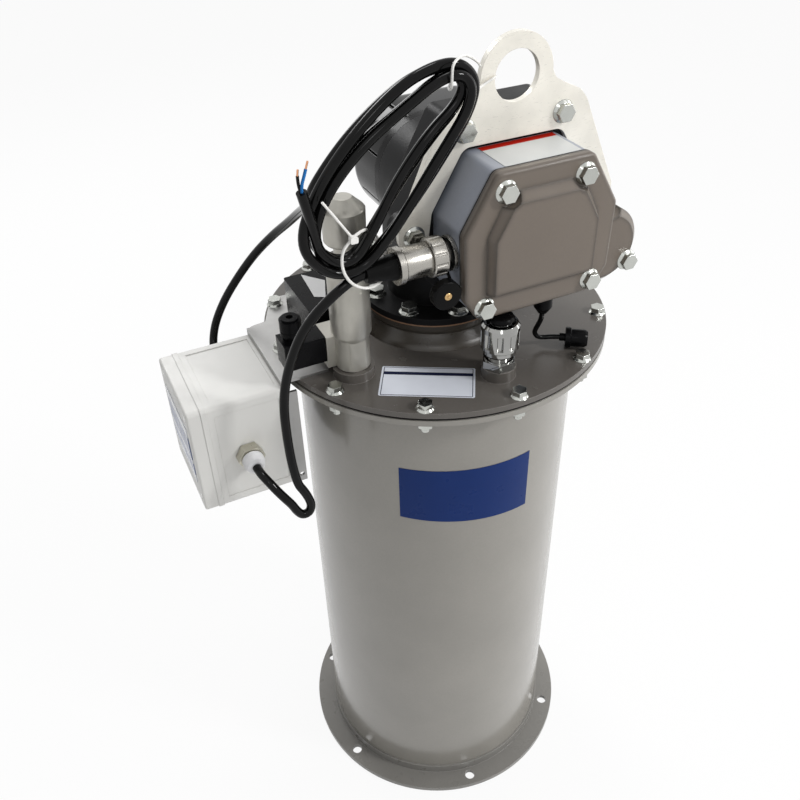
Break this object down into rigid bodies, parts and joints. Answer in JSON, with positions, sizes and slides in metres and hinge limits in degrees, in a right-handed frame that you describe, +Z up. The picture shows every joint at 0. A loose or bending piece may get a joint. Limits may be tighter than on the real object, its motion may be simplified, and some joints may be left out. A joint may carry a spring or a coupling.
{
  "type": "automatic lubrication pump",
  "caption": "Electric grease pump on a cylindrical reservoir, with a lifting eye, a control box on a bracket, a shut-off valve column, a fill coupler and a coiled cable.",
  "frame": {"origin": "centre of the reservoir's foot, on the floor", "axes": "+Z up along the reservoir's axis, -Y towards the drive's front cover, -X towards the control box"},
  "size_m": [0.4755, 0.3684, 0.9827],
  "materials": {
    "tank_grey": "semi-gloss warm grey paint",
    "lid_grey": "satin taupe grey paint",
    "seal_brown": "dull copper brown sheet",
    "paper": "brown gasket paper",
    "zinc": "bright zinc plate",
    "black_cast": "black enamel",
    "case_grey": "grey paint on a casting",
    "cover_brown": "taupe brown paint",
    "housing_blue": "blue grey paint",
    "plate_zinc": "pale zinc plate",
    "black_plastic": "glossy black",
    "black_rubber": "satin black",
    "steel": "turned steel",
    "bronze": "bronze",
    "chrome": "bright chrome",
    "nickel": "satin nickel",
    "valve_silver": "beige silver",
    "box_grey": "light grey moulding",
    "panel_blue": "blue and white film",
    "motor_grey": "dark grey"
  },
  "bodies": {
    "base": {"tank_shell": "tank_grey", "foot_flange": "tank_grey", "tank_floor": "tank_grey", "top_flange": "tank_grey", "lid_seal": "seal_brown", "lid_plate": "lid_grey", "lid_bolts": "zinc", "lid_nuts": "zinc", "pedestal": "lid_grey", "pedestal_seal": "paper", "pump_tube": "steel", "foot_valve": "steel", "rod_bush": "bronze", "gear_case": "case_grey", "gear_plate": "black_cast", "crank_bush": "bronze", "motor_body": "motor_grey", "motor_cover": "black_plastic", "lifting_plate": "plate_zinc", "side_casing": "cover_brown", "base_bolts": "zinc", "drive_bolts": "zinc", "control_housing": "housing_blue", "cover_seal": "black_rubber", "front_cover": "cover_brown", "connector_receptacle": "nickel", "connector_shell": "nickel", "connector_boot": "black_rubber", "dust_cap": "black_rubber", "coupler_body": "chrome", "coupler_plug": "black_plastic", "valve_body": "valve_silver", "valve_stem": "valve_silver", "valve_cap": "valve_silver", "din_plug": "black_plastic", "coil_block": "black_plastic", "box_bracket": "plate_zinc", "box_base": "box_grey", "box_cover": "box_grey", "display_panel": "panel_blue", "box_screws": "zinc", "front_gland": "nickel", "rear_gland": "nickel", "sensor_gland": "black_plastic", "sensor_plug": "black_plastic", "pump_lead": "black_rubber", "power_lead": "black_rubber", "power_tail": "black_rubber", "power_coil": "black_rubber", "sensor_lead": "black_rubber", "zip_ties": "black_plastic"},
    "crank": {"crank_gear": "steel"},
    "rotor": {"motor_shaft": "steel"},
    "piston": {"pump_rod": "steel", "priming_piston": "bronze", "yoke": "steel"},
    "follower": {"follower_plate": "steel", "follower_wiper": "black_rubber"},
    "coupling_nut": {"coupling_ring": "nickel"},
    "coupler_slider": {"coupler_sleeve": "chrome"}
  },
  "joints": [
    {"name": "crank_spin", "type": "hinge", "parent": "base", "child": "crank", "pos_m": [0, 0, 0.824], "axis": [0, 1, 0], "continuous": true},
    {"name": "motor_spin", "type": "hinge", "parent": "base", "child": "rotor", "pos_m": [0.048, 0, 0.824], "axis": [0, 1, 0], "continuous": true},
    {"name": "rod_stroke", "type": "slide", "parent": "base", "child": "piston", "axis": [0, 0, 1], "range_m": [0, 0.024]},
    {"name": "follower_travel", "type": "slide", "parent": "base", "child": "follower", "axis": [0, 0, 1], "range_m": [0, 0.52]},
    {"name": "coupling_turn", "type": "hinge", "parent": "base", "child": "coupling_nut", "pos_m": [-0.06, -0.113, 0.809], "axis": [-1, 0, 0], "range_deg": [0, 120]},
    {"name": "sleeve_slide", "type": "slide", "parent": "base", "child": "coupler_slider", "axis": [0, 0, -1], "range_m": [0, 0.004], "stiffness_N_per_m": 1500, "springref_m": -0.004}
  ],
  "couplings": [
    {"joint": "motor_spin", "follows": "crank_spin", "ratio": -3}
  ]
}
